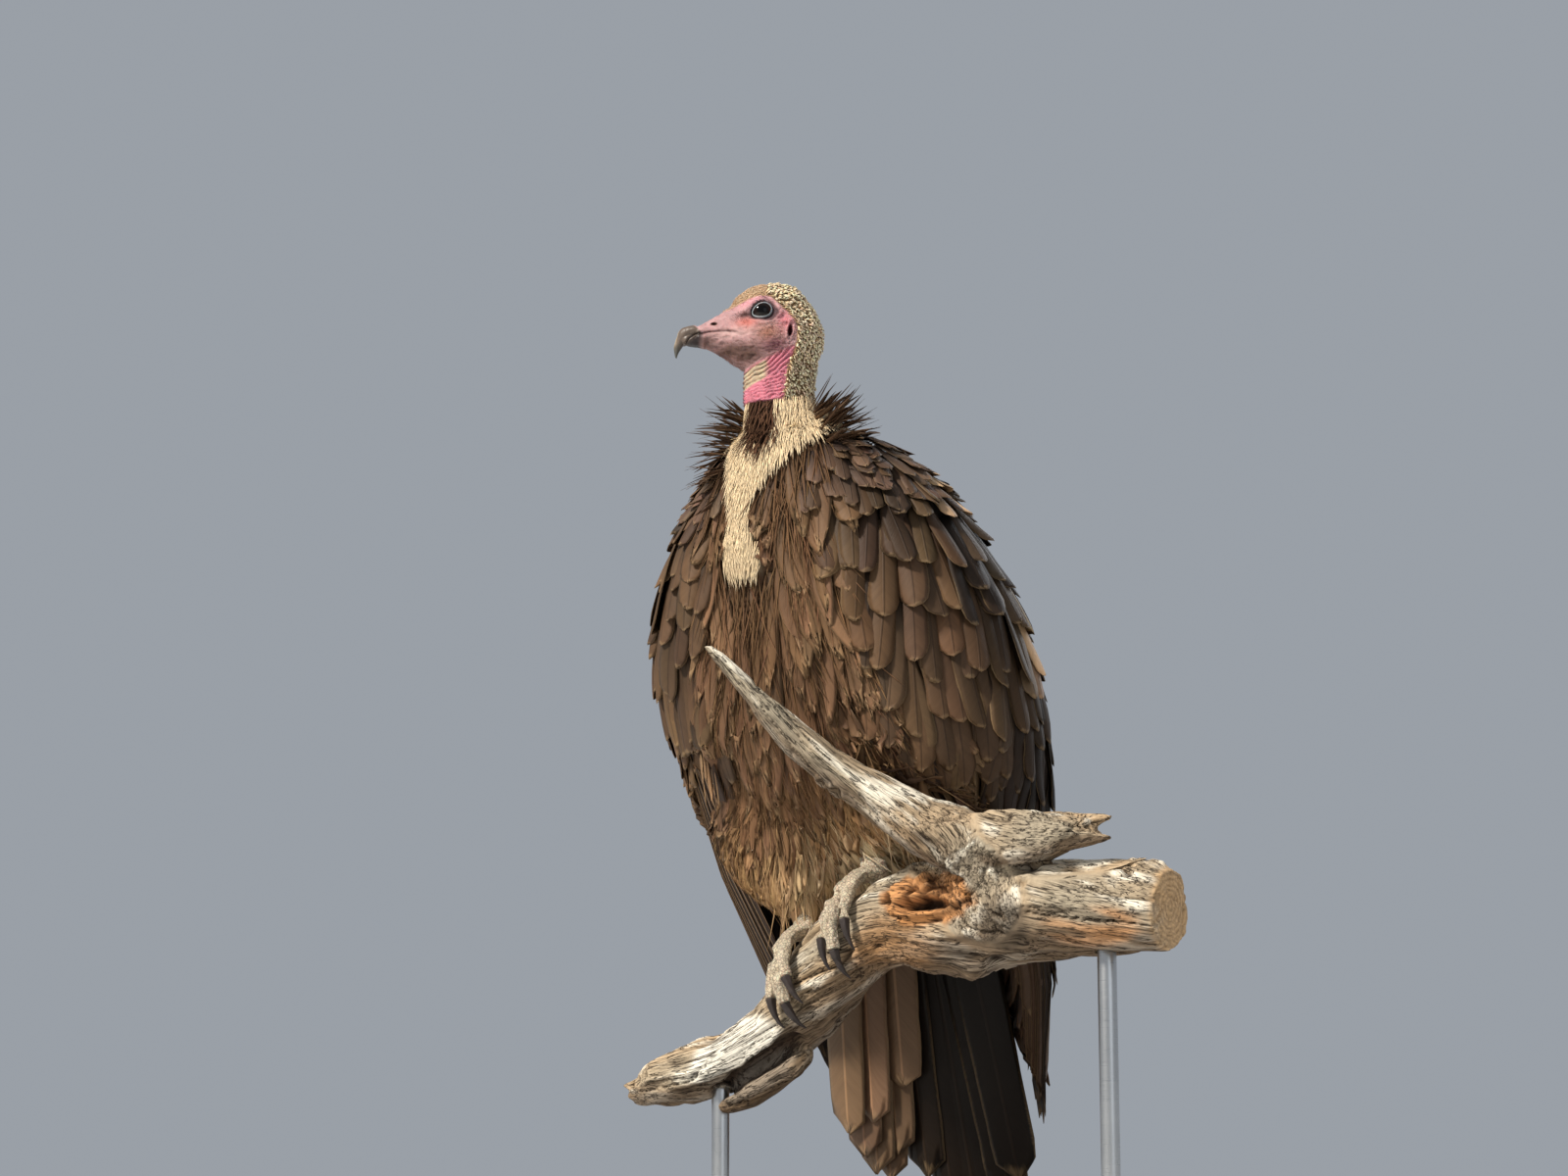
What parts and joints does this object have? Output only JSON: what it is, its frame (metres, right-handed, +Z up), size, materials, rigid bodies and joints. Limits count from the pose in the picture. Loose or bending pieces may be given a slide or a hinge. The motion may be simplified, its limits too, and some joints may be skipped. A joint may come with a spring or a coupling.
{
  "type": "hooded vulture on a perch",
  "caption": "Life-size brown vulture with a bare pink head and slim hooked bill, gripping a cut length of dead branch that rods hold over a flat base.",
  "frame": {"origin": "centre of the underside of the stand's base, on the floor", "axes": "+Z up; -Y the way the bird's breast faces; +X towards the bird's left side"},
  "size_m": [0.4643, 0.3181, 0.719],
  "materials": {
    "plumage": "dark warm brown body feathers with paler loose edges, cream down on the breast",
    "flight_feathers": "dark brown vanes with a soft sheen and pale shafts",
    "bare_skin": "bare wrinkled pink skin with short beige down on the crown and nape",
    "horn": "smooth dark horn",
    "eye": "wet dark brown eye",
    "foot_scales": "dry pale grey scales",
    "weathered_wood": "bare grey and tan wood with long cracks",
    "plinth": "black satin paint",
    "steel": "plain brushed rods"
  },
  "bodies": {
    "root": {"trunk": "plumage", "neck": "bare_skin", "head": "bare_skin", "bill_upper": "horn", "bill_lower": "horn", "eye_left": "eye", "eye_right": "eye", "ruff": "plumage", "wing_left": "flight_feathers", "wing_right": "flight_feathers", "tail": "flight_feathers", "foot_right": "foot_scales", "thigh_right": "plumage", "foot_left": "foot_scales", "thigh_left": "plumage", "claw_right_inner": "horn", "claw_right_middle": "horn", "claw_right_outer": "horn", "claw_right_hind": "horn", "claw_left_inner": "horn", "claw_left_middle": "horn", "claw_left_outer": "horn", "claw_left_hind": "horn", "perch_branch": "weathered_wood", "perch_spike": "weathered_wood", "perch_stub": "weathered_wood", "stand_base": "plinth", "stand_rod_left": "steel", "stand_collar_left": "steel", "stand_rod_right": "steel", "stand_collar_right": "steel"}
  },
  "joints": []
}
